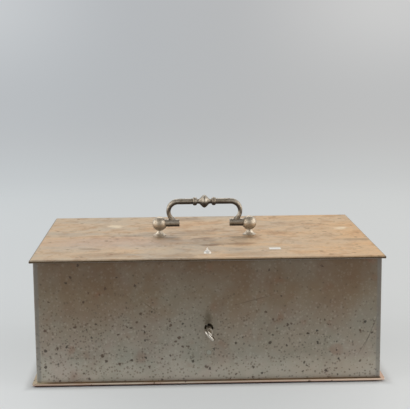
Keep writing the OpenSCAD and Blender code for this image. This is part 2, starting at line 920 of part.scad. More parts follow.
// The pin that stands in the barrel and enters the key's tube.
module drill_pin() {
    color(steel)
        on_front(-1, key_z) cylinder(r = drill_r, h = cover_u - 0.5 + 1);
}

// A coil spring along z: points of its wire's middle, then rings of six points.
function spring_point(i, long) = [
    spring_r * cos(360 * i / spring_steps), spring_r * sin(360 * i / spring_steps),
    spring_wire + (long - 2 * spring_wire) * i / (spring_turns * spring_steps)
];
module coil_spring(long) {
    sides = 6;
    last = spring_turns * spring_steps;
    points = [
        for (i = [0:last]) for (j = [0:sides - 1])
            let (p = spring_point(i, long), out = [p[0], p[1], 0] / spring_r)
            p + spring_wire * (cos(360 * j / sides) * out + [0, 0, sin(360 * j / sides)])
    ];
    sheath = [
        for (i = [0:last - 1]) for (j = [0:sides - 1])
            let (a = i * sides + j, b = i * sides + (j + 1) % sides)
            each [[a, a + sides, b], [b, a + sides, b + sides]]
    ];
    first_cap = [for (j = [1:sides - 2]) [0, j, j + 1]];
    last_cap = [for (j = [1:sides - 2]) [last * sides, last * sides + j + 1, last * sides + j]];
    polyhedron(points = points, faces = concat(sheath, first_cap, last_cap));
}

module slider_spring() {
    low = slider_u + slider_l + 0.05;
    color(steel)
        on_front(low, key_z) coil_spring(bore_end - 0.05 - low);
}

// Four flat sliders that the key pushes back, clear of the ring.
module sliders() {
    inner = drill_r + 0.5;
    color(steel)
        on_front(slider_u, key_z)
            at_key_angle() four_ways()
                translate([inner, -slider_t / 2, 0]) cube([slider_out - inner, slider_t, slider_l]);
}

// One rack tooth, pointing down from the pitch line at y = 0.
module rack_tooth() {
    half = (PI * module_m / 2 - backlash) / 2;
    slope = tan(pressure);
    polygon([
        [-half + addendum * slope, -addendum], [half - addendum * slope, -addendum],
        [half + (dedendum + eps) * slope, dedendum + eps], [-half - (dedendum + eps) * slope, dedendum + eps]
    ]);
}

// The bolt: a rack over the pinion, a bar on the guides, and two hooked tongues.
module bolt() {
    pitch_z = key_z + pitch_r;
    pitch = PI * module_m;
    first_tooth = -5;
    last_tooth = 2;
    end_room = 1.4;
    leg_left = (first_tooth - end_room) * pitch;
    leg_right = (last_tooth + end_room) * pitch;
    color(nickel)
        on_front(bolt_u)
            linear_extrude(bolt_t)
                difference() {
                    union() {
                        translate([leg_left, pitch_z + dedendum])
                            square([leg_right - leg_left, bar_low + 1 - pitch_z - dedendum]);
                        for (i = [first_tooth:last_tooth])
                            translate([i * pitch, pitch_z]) rack_tooth();
                        translate([bar_left, bar_low]) square([bar_right - bar_left, bar_h]);
                        for (s = [-1, 1]) {
                            tip = s * staple_x - staple_t / 2 - tip_gap;
                            translate([tip - travel - riser_w, bar_low])
                                square([riser_w, tongue_z + tongue_h / 2 - bar_low]);
                            translate([tip - travel - 1, tongue_z - tongue_h / 2])
                                square([travel + 1, tongue_h]);
                        }
                    }
                    for (s = [-1, 1])
                        translate([s * guide_x, guide_z]) {
                            for (x = [0, -travel])
                                translate([x, 0]) circle(guide_r + guide_slot);
                            translate([-travel, -guide_r - guide_slot])
                                square([travel, 2 * (guide_r + guide_slot)]);
                        }
                }
}

// The key: a tube with a short lug at its tip, a collar, and an oval ring bow.
module key() {
    bow_u = -wall_t - bow_out;
    neck_end = bow_u + bow_r;
    collar_out = 15;
    collar_t = 1.8;
    collar_step = 0.9;
    lug_l = 2.6;
    bore_l = 12;
    collar_u = -wall_t - collar_out;
    color(nickel)
        on_front(0, key_z)
            at_key_angle()
                difference() {
                    union() {
                        translate([0, 0, collar_u]) cylinder(r = shank_r, h = key_tip - collar_u);
                        translate([0, 0, collar_u]) cylinder(r = shank_r + collar_step, h = collar_t);
                        translate([0, 0, neck_end])
                            cylinder(r1 = bow_wire_r, r2 = shank_r, h = collar_u - neck_end + eps);
                        translate([-lug_w / 2, 0, key_tip - lug_l - 0.3]) cube([lug_w, lug_r, lug_l]);
                        translate([0, 0, bow_u]) rotate([90, 0, 90]) bow();
                    }
                    translate([0, 0, key_tip - bore_l]) cylinder(r = key_bore_r, h = bore_l + 1);
                }
}

// The bow: two half rings joined by two straight stretches, its width along x.
module bow() {
    for (s = [-1, 1]) {
        translate([s * bow_wide / 2, 0, 0])
            rotate(s > 0 ? -90 : 90) rotate_extrude(angle = 180) translate([bow_r, 0]) circle(bow_wire_r);
        translate([-bow_wide / 2, s * bow_r, 0])
            rotate([0, 90, 0]) cylinder(r = bow_wire_r, h = bow_wide);
    }
}

front_wall();
back_wall();
side_wall(-1);  // left_wall
side_wall(1);  // right_wall
corner_angles();
base_angles();
base_plate();
base_screws();
base_felt();
translate([-hinge_x, 0, 0]) hinge_case_leaf();  // left_hinge_case_leaf
translate([hinge_x, 0, 0]) hinge_case_leaf();  // right_hinge_case_leaf
translate([-hinge_x, 0, 0]) hinge_pin();  // left_hinge_pin
translate([hinge_x, 0, 0]) hinge_pin();  // right_hinge_pin
hinge_rivets();
lock_case();
lock_cover();
cover_screws();
lock_studs();
lock_nuts();
bolt_guides();
guide_collars();
locking_ring();
lid_plate();
lid_rim_front();
lid_rim_side(-1);  // lid_rim_left
lid_rim_side(1);  // lid_rim_right
translate([-hinge_x, 0, 0]) hinge_lid_leaf();  // left_hinge_lid_leaf
translate([hinge_x, 0, 0]) hinge_lid_leaf();  // right_hinge_lid_leaf
lid_screws();
handle_post(-1);  // left_handle_post
handle_post(1);  // right_handle_post
post_washers();
post_nuts();
keeper();
lid_stud();
bail();
barrel();
drill_pin();
slider_spring();
sliders();
bolt();
key();
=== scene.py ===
"""Looks of a plated steel deed box: finishes, turned handle, felt foot, stage and camera."""
import math

import bmesh
import bpy
from mathutils import Matrix, Vector, noise


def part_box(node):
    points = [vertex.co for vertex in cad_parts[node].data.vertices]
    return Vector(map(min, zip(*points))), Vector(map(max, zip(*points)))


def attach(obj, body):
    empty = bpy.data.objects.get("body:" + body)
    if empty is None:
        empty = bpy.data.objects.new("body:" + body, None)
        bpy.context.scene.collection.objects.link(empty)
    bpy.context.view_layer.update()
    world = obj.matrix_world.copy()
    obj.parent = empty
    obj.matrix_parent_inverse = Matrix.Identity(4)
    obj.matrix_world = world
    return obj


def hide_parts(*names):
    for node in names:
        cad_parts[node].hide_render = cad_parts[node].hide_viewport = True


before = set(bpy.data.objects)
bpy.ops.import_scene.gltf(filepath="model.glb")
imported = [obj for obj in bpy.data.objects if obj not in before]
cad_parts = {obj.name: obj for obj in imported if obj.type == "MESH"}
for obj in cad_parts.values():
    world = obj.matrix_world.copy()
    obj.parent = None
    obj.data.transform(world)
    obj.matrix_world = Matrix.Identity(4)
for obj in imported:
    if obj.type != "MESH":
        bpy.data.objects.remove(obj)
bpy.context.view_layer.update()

MM = 0.001


def srgb(red, green, blue):
    """A colour written from 0 to 255, as linear light with full alpha."""
    shares = [c / 255 for c in (red, green, blue)]
    return tuple(s / 12.92 if s <= 0.04045 else ((s + 0.055) / 1.055) ** 2.4 for s in shares) + (1.0,)


# Sizes in metres that the finishes line up with, read from the frame
front_low, front_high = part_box("front_wall")
front_y = front_low[1]
wall_half = front_high[0]
wall_low, wall_high = front_low[2], front_high[2]
wall_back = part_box("back_wall")[1][1]
base_low, base_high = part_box("base_plate")
lid_low, lid_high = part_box("lid_plate")
post_low, post_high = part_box("left_handle_post")
ball_top = post_high[2]
BALL_REACH = 0.015
ball_inner = -post_low[0] - BALL_REACH
key_z = (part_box("barrel")[0][2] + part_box("barrel")[1][2]) / 2
FLUSH_STUD_R = 0.003
flush_stud_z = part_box("lock_studs")[0][2] + FLUSH_STUD_R

# How far in from an outer face the finish changes, and where the change is done
SKIN_IN = 0.0012
SKIN_OUT = 0.0006

# Scratches on the front as (middle, direction, half length), with places across and up
SCRATCHES = [
    ((0.166, 0.052), (0.37, 0.93), 0.020), ((0.160, 0.040), (0.50, 0.87), 0.012),
    ((0.048, 0.088), (0.97, 0.25), 0.019), ((-0.060, 0.082), (0.80, -0.60), 0.010),
]
SCRATCH_HALF_WIDTH = 0.0005

# Stains on the lid, and painted highlights where lamps glint off small dents, as (middle, radii, strength),
# seen from above
LID_STAINS = [
    ((0.006, -0.058), (0.011, 0.006), 0.55), ((-0.003, -0.020), (0.011, 0.007), 0.5),
    ((-0.125, -0.070), (0.010, 0.005), 0.45), ((-0.030, -0.110), (0.018, 0.010), 0.3),
    ((-0.014, 0.013), (0.024, 0.008), 0.3), ((0.165, -0.036), (0.016, 0.007), 0.35),
    ((0.086, 0.012), (0.016, 0.008), 0.2), ((0.036, -0.054), (0.018, 0.006), 0.28),
    ((-0.107, -0.104), (0.030, 0.012), 0.25), ((-0.022, 0.106), (0.020, 0.012), 0.35),
    ((0.042, -0.107), (0.022, 0.010), 0.22), ((0.014, 0.024), (0.048, 0.004), 0.3),
]
LID_PAINTED_GLINTS = [((-0.104, 0.060), (0.008, 0.008), 0.6), ((0.158, 0.033), (0.007, 0.008), 0.6)]

# A small near-white rectangle on the lid
WHITE_PATCH_MIDDLE = (0.0715, -0.0803)
WHITE_PATCH_HALF = (0.006, 0.0048)
WHITE_PATCH_SOFT = 0.0004


# Camera

CAMERA_PLACE = Vector((-0.0328, -1.1444, 0.3493))
CAMERA_TURN = math.radians(-1.68)
CAMERA_FALL = math.radians(9.05)
CAMERA_ROLL = math.radians(-0.49)
FOCAL_PIXELS = 1036
FRAME_WIDTH = 410
SENSOR = 36.0


def add_camera():
    """The camera at the photograph's place, looking a little down at the front."""
    data = bpy.data.cameras.new("camera")
    data.sensor_width = SENSOR
    data.lens = FOCAL_PIXELS / FRAME_WIDTH * SENSOR
    back = Vector((
        math.sin(CAMERA_TURN) * math.cos(CAMERA_FALL),
        -math.cos(CAMERA_TURN) * math.cos(CAMERA_FALL),
        math.sin(CAMERA_FALL),
    ))
    level_right = (-back).cross(Vector((0, 0, 1))).normalized()
    level_up = level_right.cross(-back)
    right = math.cos(CAMERA_ROLL) * level_right + math.sin(CAMERA_ROLL) * level_up
    up = -math.sin(CAMERA_ROLL) * level_right + math.cos(CAMERA_ROLL) * level_up
    camera = bpy.data.objects.new("camera", data)
    bpy.context.scene.collection.objects.link(camera)
    turn = Matrix((right, up, back)).transposed()
    camera.matrix_world = Matrix.Translation(CAMERA_PLACE) @ turn.to_4x4()
    bpy.context.scene.camera = camera


# Nodes

NODE_SPACING = 180


class Graph:
    """Adds nodes to one tree. Most methods return the output of what they add."""

    def __init__(self, tree):
        self.tree = tree

    def feed(self, socket, value):
        """Links an output into a socket, or sets the socket's own value."""
        if isinstance(value, bpy.types.NodeSocket):
            self.tree.links.new(value, socket)
        else:
            socket.default_value = value

    def node(self, kind, inputs=(), **settings):
        node = self.tree.nodes.new(kind)
        node.location.x = NODE_SPACING * len(self.tree.nodes)
        for name, value in settings.items():
            setattr(node, name, value)
        for name, value in dict(inputs).items():
            self.feed(node.inputs[name], value)
        return node

    def math(self, operation, *values, clamp=False):
        node = self.node("ShaderNodeMath", operation=operation, use_clamp=clamp)
        for socket, value in zip(node.inputs, values):
            self.feed(socket, value)
        return node.outputs[0]

    def times(self, *values):
        """The product of all the values."""
        result = values[0]
        for value in values[1:]:
            result = self.math("MULTIPLY", result, value)
        return result

    def vector(self, operation, *values, output="Vector"):
        node = self.node("ShaderNodeVectorMath", operation=operation)
        for socket, value in zip(node.inputs, values):
            self.feed(socket, value)
        return node.outputs[output]

    def scaled(self, place, by):
        """A place vector multiplied by a number or by a vector."""
        if isinstance(by, tuple):
            return self.vector("MULTIPLY", place, by)
        node = self.node("ShaderNodeVectorMath", {"Vector": place, "Scale": by}, operation="SCALE")
        return node.outputs["Vector"]

    def part_place(self):
        """The place on the part at rest, in metres, which rides along with each body."""
        return self.node("ShaderNodeTexCoord").outputs["Object"]

    def axes(self, place):
        return self.node("ShaderNodeSeparateXYZ", {"Vector": place}).outputs

    def noise(self, place, scale, detail=3.0, rough=0.5, twist=0.0, output="Fac"):
        inputs = {"Vector": place, "Scale": scale, "Detail": detail, "Roughness": rough, "Distortion": twist}
        return self.node("ShaderNodeTexNoise", inputs).outputs[output]

    def cells(self, place, scale):
        return self.node("ShaderNodeTexVoronoi", {"Vector": place, "Scale": scale}).outputs

    def fade(self, value, low, high, start=0.0, end=1.0):
        """Goes smoothly from start to end while the value goes from low to high."""
        inputs = {"Value": value, "From Min": low, "From Max": high, "To Min": start, "To Max": end}
        node = self.node("ShaderNodeMapRange", inputs, interpolation_type="SMOOTHSTEP")
        return node.outputs["Result"]

    def around(self, value, middle, soft):
        """Goes smoothly from 0 to 1 while the value passes the middle."""
        return self.fade(value, self.math("SUBTRACT", middle, soft), self.math("ADD", middle, soft))

    def off_middle(self, value, low, high, start=0.0, end=1.0):
        """A fade by the distance from the middle plane, the same on both sides."""
        return self.fade(self.math("ABSOLUTE", value), low, high, start, end)

    def ramp(self, value, *stops, between="LINEAR"):
        """A colour that follows the value through (place, colour) stops."""
        node = self.node("ShaderNodeValToRGB", {"Fac": value})
        band = node.color_ramp
        band.interpolation = between
        while len(band.elements) < len(stops):
            band.elements.new(0.5)
        for element, (position, colour) in zip(band.elements, stops):
            element.position = position
            element.color = colour
        return node.outputs["Color"]

    def mix(self, share, first, second, blend="MIX"):
        node = self.node("ShaderNodeMix", data_type="RGBA", blend_type=blend, clamp_factor=True)
        self.feed(node.inputs["Factor"], share)
        colours = [s for s in node.inputs if s.type == "RGBA"]
        self.feed(colours[0], first)
        self.feed(colours[1], second)
        return next(s for s in node.outputs if s.type == "RGBA")

    def over(self, colour, paint, *shares):
        """A colour with another laid over it, as thick as the product of the shares."""
        return self.mix(self.times(*shares), colour, paint)

    def tint(self, colour, by, *shares):
        """A colour multiplied by another, as strongly as the product of the shares."""
        return self.mix(self.times(*shares), colour, self.mix(1.0, colour, by, "MULTIPLY"))

    def bump(self, height, strength, distance):
        inputs = {"Height": height, "Strength": strength, "Distance": distance}
        return self.node("ShaderNodeBump", inputs).outputs["Normal"]

    def spot(self, across, along, middle, radii, soft):
        """1 inside an ellipse and 0 outside, from two coordinates."""
        u = self.math("DIVIDE", self.math("SUBTRACT", across, middle[0]), radii[0])
        v = self.math("DIVIDE", self.math("SUBTRACT", along, middle[1]), radii[1])
        square = self.math("ADD", self.times(u, u), self.times(v, v))
        return self.fade(self.math("SQRT", square), 1 - soft, 1 + soft, 1, 0)

    def use(self, group, place, shift=None, **inputs):
        """Places a group with its own values, and returns its outputs."""
        node = self.node("ShaderNodeGroup")
        node.node_tree = group
        if shift:
            place = self.vector("ADD", place, shift)
        for name, value in dict(inputs, Place=place).items():
            self.feed(node.inputs[name], value)
        return node.outputs


def new_group(name, inputs, outputs):
    """A shader node group that takes a place and named numbers: its graph, inputs and outputs."""
    tree = bpy.data.node_groups.new(name, "ShaderNodeTree")
    tree.interface.new_socket("Place", in_out="INPUT", socket_type="NodeSocketVector")
    for title, value in inputs.items():
        socket = tree.interface.new_socket(title, in_out="INPUT", socket_type="NodeSocketFloat")
        socket.default_value = value
    for title in outputs:
        tree.interface.new_socket(title, in_out="OUTPUT", socket_type="NodeSocketFloat")
    g = Graph(tree)
    return g, g.node("NodeGroupInput").outputs, g.node("NodeGroupOutput").inputs


def clouds_group():
    """Soft patches of tarnish: a mask of broad clouds broken up by finer ones."""
    g, given, result = new_group("tarnish clouds", {"Width": 0.06, "Cover": 0.5, "Softness": 0.15}, ["Mask"])
    scale = g.math("DIVIDE", 1.0, given["Width"])
    broad = g.noise(given["Place"], scale, detail=5.0, rough=0.62, twist=0.4)
    g.feed(result["Mask"], g.around(broad, g.math("SUBTRACT", 1.0, given["Cover"]), given["Softness"]))
    return g.tree


# Share of the surface that the specks cover when every cell holds one
FULL_COVER = 0.13


def specks_group():
    """Roundish corrosion specks. A cell holds one or none, and chance sets its size and tone."""
    g, given, result = new_group(
        "corrosion specks", {"Width": 0.004, "Cover": 0.1, "Softness": 0.03}, ["Mask", "Tone"])
    scale = g.math("DIVIDE", 1.0, given["Width"])
    uneven = g.noise(given["Place"], g.times(scale, 1.7), detail=2.0, output="Color")
    uneven = g.scaled(g.vector("SUBTRACT", uneven, (0.5, 0.5, 0.5)), g.times(given["Width"], 0.7))
    cells = g.cells(g.vector("ADD", given["Place"], uneven), scale)
    chance = g.axes(cells["Color"])
    radius = g.fade(chance["X"], 0.0, 1.0, 0.14, 0.42)
    here = g.math("LESS_THAN", chance["Y"], g.math("DIVIDE", given["Cover"], FULL_COVER))
    g.feed(result["Mask"], g.times(g.around(radius, cells["Distance"], given["Softness"]), here))
    g.feed(result["Tone"], chance["Z"])
    return g.tree


def grain_group():
    """Fine unevenness of old rolled and plated sheet, as a height around a half."""
    g, given, result = new_group("sheet grain", {"Width": 0.001}, ["Height"])
    scale = g.math("DIVIDE", 1.0, given["Width"])
    fine = g.noise(given["Place"], scale, detail=4.0, rough=0.6)
    coarse = g.noise(given["Place"], g.math("DIVIDE", scale, 9.0), detail=2.0)
    g.feed(result["Height"], g.math("ADD", g.times(fine, 0.6), g.times(coarse, 0.4)))
    return g.tree


def edge_wear_group():
    """Where handling has rubbed the edges bright: a mask along every sharp edge."""
    g, given, result = new_group("edge wear", {"Width": 0.001, "Patchiness": 0.5}, ["Mask"])
    rounded = g.node("ShaderNodeBevel", {"Radius": given["Width"]}, samples=4).outputs["Normal"]
    flat = g.node("ShaderNodeNewGeometry").outputs["Normal"]
    edge = g.fade(g.vector("DOT_PRODUCT", rounded, flat, output="Value"), 0.995, 0.90)
    broken = g.noise(given["Place"], 260.0, detail=4.0, rough=0.65)
    g.feed(result["Mask"], g.times(edge, g.around(broken, given["Patchiness"], 0.12)))
    return g.tree


CLOUDS = clouds_group()
SPECKS = specks_group()
GRAIN = grain_group()
EDGE_WEAR = edge_wear_group()


def new_finish(build):
    """A material named for its build function, which gives what each shader socket holds."""
    material = bpy.data.materials.new(build.__name__.replace("_", " "))
    material.use_nodes = True
    tree = material.node_tree
    tree.nodes.clear()
    g = Graph(tree)
    shader = g.node("ShaderNodeBsdfPrincipled")
    output = g.node("ShaderNodeOutputMaterial")
    tree.links.new(shader.outputs["BSDF"], output.inputs["Surface"])
    for title, value in build(g).items():
        g.feed(shader.inputs[title], value)
    return material


# Finishes

def plated_wall(g):
    """Grey-olive nickel plate, darker and browner towards the lid, peppered with dark corrosion. The
    darkening is partly tarnish and partly painted shade under the lid's overhang; the paler bottom is a
    painted reflection of the pale floor.
    """
    place = g.part_place()
    x, y, z = g.axes(place)
    height = g.fade(z, wall_low, wall_high)
    front = g.fade(y, front_y + 0.0005, front_y + 0.0015, 1, 0)
    # Colour by height: partly tarnish, partly painted shade under the lid's overhang at the top and a painted
    # reflection of the floor low down.
    colour = g.ramp(
        height,
        (0.0, srgb(194, 186, 172)), (0.10, srgb(171, 164, 151)), (0.45, srgb(153, 145, 131)),
        (0.8, srgb(140, 129, 112)), (1.0, srgb(126, 112, 96)),
    )
    brown = g.use(CLOUDS, place, Width=0.085, Cover=0.47, Softness=0.12)["Mask"]
    colour = g.tint(colour, srgb(234, 208, 184), brown, g.fade(height, 0.1, 1.0, 0.25, 0.75))
    grey = g.use(CLOUDS, place, (0.7, 0.2, 0.4), Width=0.03, Cover=0.45, Softness=0.15)["Mask"]
    colour = g.tint(colour, srgb(224, 232, 228), grey, g.fade(height, 0.05, 0.55, 0.6, 0.25))
    mauve = g.use(CLOUDS, place, (0.4, 0.9, 0.2), Width=0.024, Cover=0.42, Softness=0.12)["Mask"]
    colour = g.tint(colour, srgb(248, 236, 238), mauve, 0.5)
    rusty = g.use(SPECKS, place, (0.3, 0.1, 0.2), Width=0.018, Cover=0.045, Softness=0.2)["Mask"]
    colour = g.over(colour, srgb(138, 92, 68), rusty, 0.32)
    pale = g.use(SPECKS, place, (0.2, 0.8, 0.6), Width=0.0032, Cover=0.12, Softness=0.08)["Mask"]
    colour = g.over(colour, srgb(202, 194, 180), pale, g.fade(height, 0.2, 0.9, 0.22, 0.08))
    eaten = g.times(g.fade(x, -0.17, 0.15, 1.0, 0.55), g.fade(height, 0.2, 0.95, 1.0, 0.35))
    fine = g.use(SPECKS, place, Width=0.0026, Cover=g.times(eaten, 0.075), Softness=0.14)
    coarse = g.use(SPECKS, place, (0.5, 0.4, 0.1), Width=0.0044, Cover=g.times(eaten, 0.022), Softness=0.08)
    colour = g.over(colour, g.mix(fine["Tone"], srgb(66, 58, 44), srgb(106, 82, 62)), fine["Mask"], 0.5)
    colour = g.over(colour, g.mix(coarse["Tone"], srgb(40, 34, 26), srgb(84, 58, 42)), coarse["Mask"], 0.8)
    for middle, (run, rise), half_length in SCRATCHES:
        right = g.math("SUBTRACT", x, middle[0])
        up = g.math("SUBTRACT", z, middle[1])
        along = g.math("ADD", g.times(right, run), g.times(up, rise))
        across = g.math("SUBTRACT", g.times(up, run), g.times(right, rise))
        scratch = g.spot(along, across, (0.0, 0.0), (half_length, SCRATCH_HALF_WIDTH), 0.5)
        colour = g.over(colour, srgb(74, 60, 46), g.times(scratch, front), 0.35)
    for radius, share, paint in (
        (FLUSH_STUD_R, 0.4, srgb(104, 96, 82)),
        (FLUSH_STUD_R - 0.0006, 0.7, srgb(172, 172, 160)),
    ):
        disc = g.spot(x, z, (0.0, flush_stud_z), (radius, radius), 0.12)
        colour = g.over(colour, paint, disc, front, share)
    # A dark vertical streak above the keyhole.
    dark_streak = g.spot(x, z, (-0.0006, key_z + 0.0075), (0.0032, 0.0095), 0.6)
    colour = g.over(colour, srgb(74, 62, 40), dark_streak, front, 0.5)
    corner = g.off_middle(x, wall_half - 0.0056, wall_half - 0.0036)
    colour = g.over(colour, srgb(128, 127, 124), corner, 0.5)
    outside = g.math("MAXIMUM",
                     g.off_middle(x, wall_half - SKIN_IN, wall_half - SKIN_OUT),
                     g.off_middle(y, wall_back - SKIN_IN, wall_back - SKIN_OUT))
    inner = g.mix(grey, srgb(150, 145, 135), srgb(118, 110, 98))
    inner = g.over(inner, srgb(84, 62, 46), fine["Mask"], 0.5)
    colour = g.mix(outside, inner, colour)
    wear = g.use(EDGE_WEAR, place, Width=0.0007, Patchiness=0.46)["Mask"]
    colour = g.over(colour, srgb(186, 178, 164), wear, 0.22)
    pits = g.math("MAXIMUM", coarse["Mask"], g.times(fine["Mask"], 0.6))
    grain = g.use(GRAIN, place, Width=0.0008)["Height"]
    relief = g.math("SUBTRACT", g.times(grain, 0.5), g.times(pits, 0.5))
    return {
        "Base Color": colour,
        "Roughness": g.math("ADD", g.fade(grain, 0.3, 0.7, 0.46, 0.54), g.times(pits, 0.2), clamp=True),
        "Metallic": g.math("SUBTRACT", 0.72, g.times(pits, 0.6), clamp=True),
        "Normal": g.bump(relief, 0.3, 0.0002),
    }


def plated_lid(g):
    """Tan patina over nickel plate, with round stains, rubbed edges and a small near-white rectangle; painted
    highlights show lamps glinting off dents, and the edge faces carry painted shade.
    """
    place = g.part_place()
    x, y, z = g.axes(place)
    colour = g.ramp(
        g.noise(g.scaled(place, (0.55, 1.0, 1.0)), 22.0, detail=4.0, rough=0.6, twist=0.5),
        (0.30, srgb(188, 174, 156)), (0.45, srgb(208, 187, 160)), (0.58, srgb(216, 186, 150)),
        (0.72, srgb(198, 160, 124)),
    )
    colour = g.over(colour, srgb(232, 190, 138), g.fade(x, 0.02, 0.17), 0.5)
    haze = g.use(CLOUDS, place, (0.1, 0.6, 0.3), Width=0.11, Cover=0.46, Softness=0.1)["Mask"]
    colour = g.over(colour, srgb(204, 190, 168), haze, 0.35)
    stain = g.use(CLOUDS, place, (0.9, 0.1, 0.5), Width=0.03, Cover=0.34, Softness=0.07)["Mask"]
    colour = g.over(colour, srgb(164, 132, 100), stain, 0.28)
    mottle = g.use(CLOUDS, place, (0.3, 0.3, 0.8), Width=0.016, Cover=0.44, Softness=0.1)["Mask"]
    colour = g.tint(colour, srgb(232, 218, 206), mottle, 0.75)
    mauve = g.spot(x, y, (-0.100, -0.036), (0.075, 0.030), 0.6)
    colour = g.over(colour, srgb(196, 178, 168), mauve, 0.4)
    band = g.spot(x, y, (-0.055, 0.0), (0.105, 0.0022), 0.6)
    colour = g.over(colour, srgb(128, 100, 72), band, g.fade(g.noise(place, 40.0), 0.3, 0.6), 0.5)
    ragged = g.vector("SUBTRACT", g.noise(place, 60.0, detail=3.0, output="Color"), (0.5, 0.5, 0.5))
    ring_place = g.vector("ADD", g.vector("ADD", place, g.scaled(ragged, 0.006)), (0.2, 0.4, 0.0))
    ring_cells = g.cells(ring_place, 24.0)["Distance"]
    rings = g.times(g.fade(ring_cells, 0.33, 0.36), g.fade(ring_cells, 0.36, 0.40, 1, 0))
    colour = g.over(colour, srgb(146, 118, 90), rings, g.fade(g.noise(place, 30.0), 0.45, 0.6, 0, 0.3))
    ragged_x, ragged_y, _ = g.axes(g.vector("ADD", place, g.scaled(ragged, 0.018)))
    # Round stains, then painted highlights of lamps glinting off dents.
    for spots, paint, soft in (
        (LID_STAINS, srgb(126, 92, 64), 0.45),
        (LID_PAINTED_GLINTS, srgb(248, 234, 206), 0.5),
    ):
        for middle, radii, strength in spots:
            colour = g.over(colour, paint, g.spot(ragged_x, ragged_y, middle, radii, soft), strength)
    fine = g.noise(place, 420.0, detail=3.0)
    shade = g.fade(fine, 0.3, 0.7, 0.93, 1.06)
    shade = g.node("ShaderNodeCombineColor", {0: shade, 1: shade, 2: shade}).outputs[0]
    colour = g.mix(1.0, colour, shade, "MULTIPLY")
    specks = g.use(SPECKS, place, Width=0.006, Cover=0.015, Softness=0.08)["Mask"]
    colour = g.over(colour, srgb(136, 104, 74), specks, 0.5)
    rim = g.math("MAXIMUM",
                 g.off_middle(x, lid_high[0] - 0.0016, lid_high[0] - 0.0012),
                 g.fade(y, lid_high[1] - 0.0020, lid_high[1] - 0.0014))
    colour = g.over(colour, srgb(98, 92, 76), rim, 0.6)
    # The plate's edge faces are darkened: partly their own darker tone, partly painted shade of the gap under
    # the lid's edge.
    side = g.fade(z, lid_high[2] - 0.0012, lid_high[2] - 0.0007, 1, 0)
    colour = g.over(colour, srgb(92, 74, 56), side)
    wear = g.use(EDGE_WEAR, place, Width=0.0009, Patchiness=0.42)["Mask"]
    colour = g.over(colour, srgb(206, 196, 178), wear, 0.55)
    under = g.fade(z, lid_low[2] + 0.0003, lid_low[2] + 0.0006, 1, 0)
    colour = g.over(colour, g.mix(haze, srgb(150, 145, 135), srgb(122, 114, 102)), under)
    # A small near-white, non-metal rectangle on the lid top.
    rubbed = g.math("SUBTRACT", 1.0, side)
    for coordinate, middle, half in zip((x, y), WHITE_PATCH_MIDDLE, WHITE_PATCH_HALF):
        away = g.math("SUBTRACT", coordinate, middle)
        rubbed = g.times(rubbed, g.off_middle(away, half - WHITE_PATCH_SOFT, half + WHITE_PATCH_SOFT, 1, 0))
    colour = g.over(colour, srgb(250, 246, 238), rubbed)
    grain = g.use(GRAIN, place, Width=0.0012)["Height"]
    return {
        "Base Color": colour,
        "Roughness": g.math("ADD", g.fade(fine, 0.3, 0.7, 0.54, 0.62), g.times(stain, 0.08)),
        "Metallic": g.times(g.math("SUBTRACT", 1.0, rubbed), 0.88),
        "Normal": g.bump(g.math("SUBTRACT", grain, g.times(specks, 0.5)), 0.25, 0.0003),
    }


def worn_base(g):
    """Copper shows pink through the worn plate along the edge of the base."""
    place = g.part_place()
    x, y, z = g.axes(place)
    clouds = g.use(CLOUDS, place, Width=0.05, Cover=0.5, Softness=0.2)["Mask"]
    edge = g.mix(clouds, srgb(226, 214, 194), srgb(208, 182, 162))
    edge = g.over(edge, srgb(255, 228, 204), g.fade(x, 0.0, 0.17))
    # The ledge top is painted dark brown: painted shade at the foot of the walls and a painted reflection of
    # the dark walls; paler at both ends.
    shaded_ledge_top = g.mix(clouds, srgb(104, 82, 60), srgb(140, 112, 78))
    shaded_ledge_top = g.over(shaded_ledge_top, srgb(206, 188, 158), g.fade(x, -0.176, -0.158, 1, 0))
    shaded_ledge_top = g.over(shaded_ledge_top, srgb(226, 188, 160), g.fade(x, 0.1758, 0.1772))
    edge = g.over(edge, shaded_ledge_top, g.fade(z, base_high[2] - 0.0005, base_high[2] - 0.0002))
    # The lowest edge of the plate is painted dark maroon, more to the left: painted shade under the plate, in
    # the felt's tone.
    low_edge_shade = g.fade(z, base_low[2] + 0.0003, base_low[2] + 0.0009, 1, 0)
    edge = g.over(edge, srgb(98, 48, 38), low_edge_shade, g.fade(x, 0.06, 0.16, 0.8, 0.5))
    inside = g.times(g.off_middle(x, wall_half - 0.002, wall_half - 0.001, 1, 0),
                     g.off_middle(y, wall_back - 0.002, wall_back - 0.001, 1, 0))
    colour = g.over(edge, g.mix(clouds, srgb(148, 142, 131), srgb(116, 108, 96)), inside)
    specks = g.use(SPECKS, place, Width=0.004, Cover=0.05, Softness=0.03)["Mask"]
    grain = g.use(GRAIN, place, Width=0.001)["Height"]
    return {
        "Base Color": g.over(colour, srgb(88, 64, 48), specks, 0.7),
        "Roughness": g.fade(clouds, 0, 1, 0.42, 0.55),
        "Metallic": 0.6,
        "Normal": g.bump(grain, 0.25, 0.0003),
    }


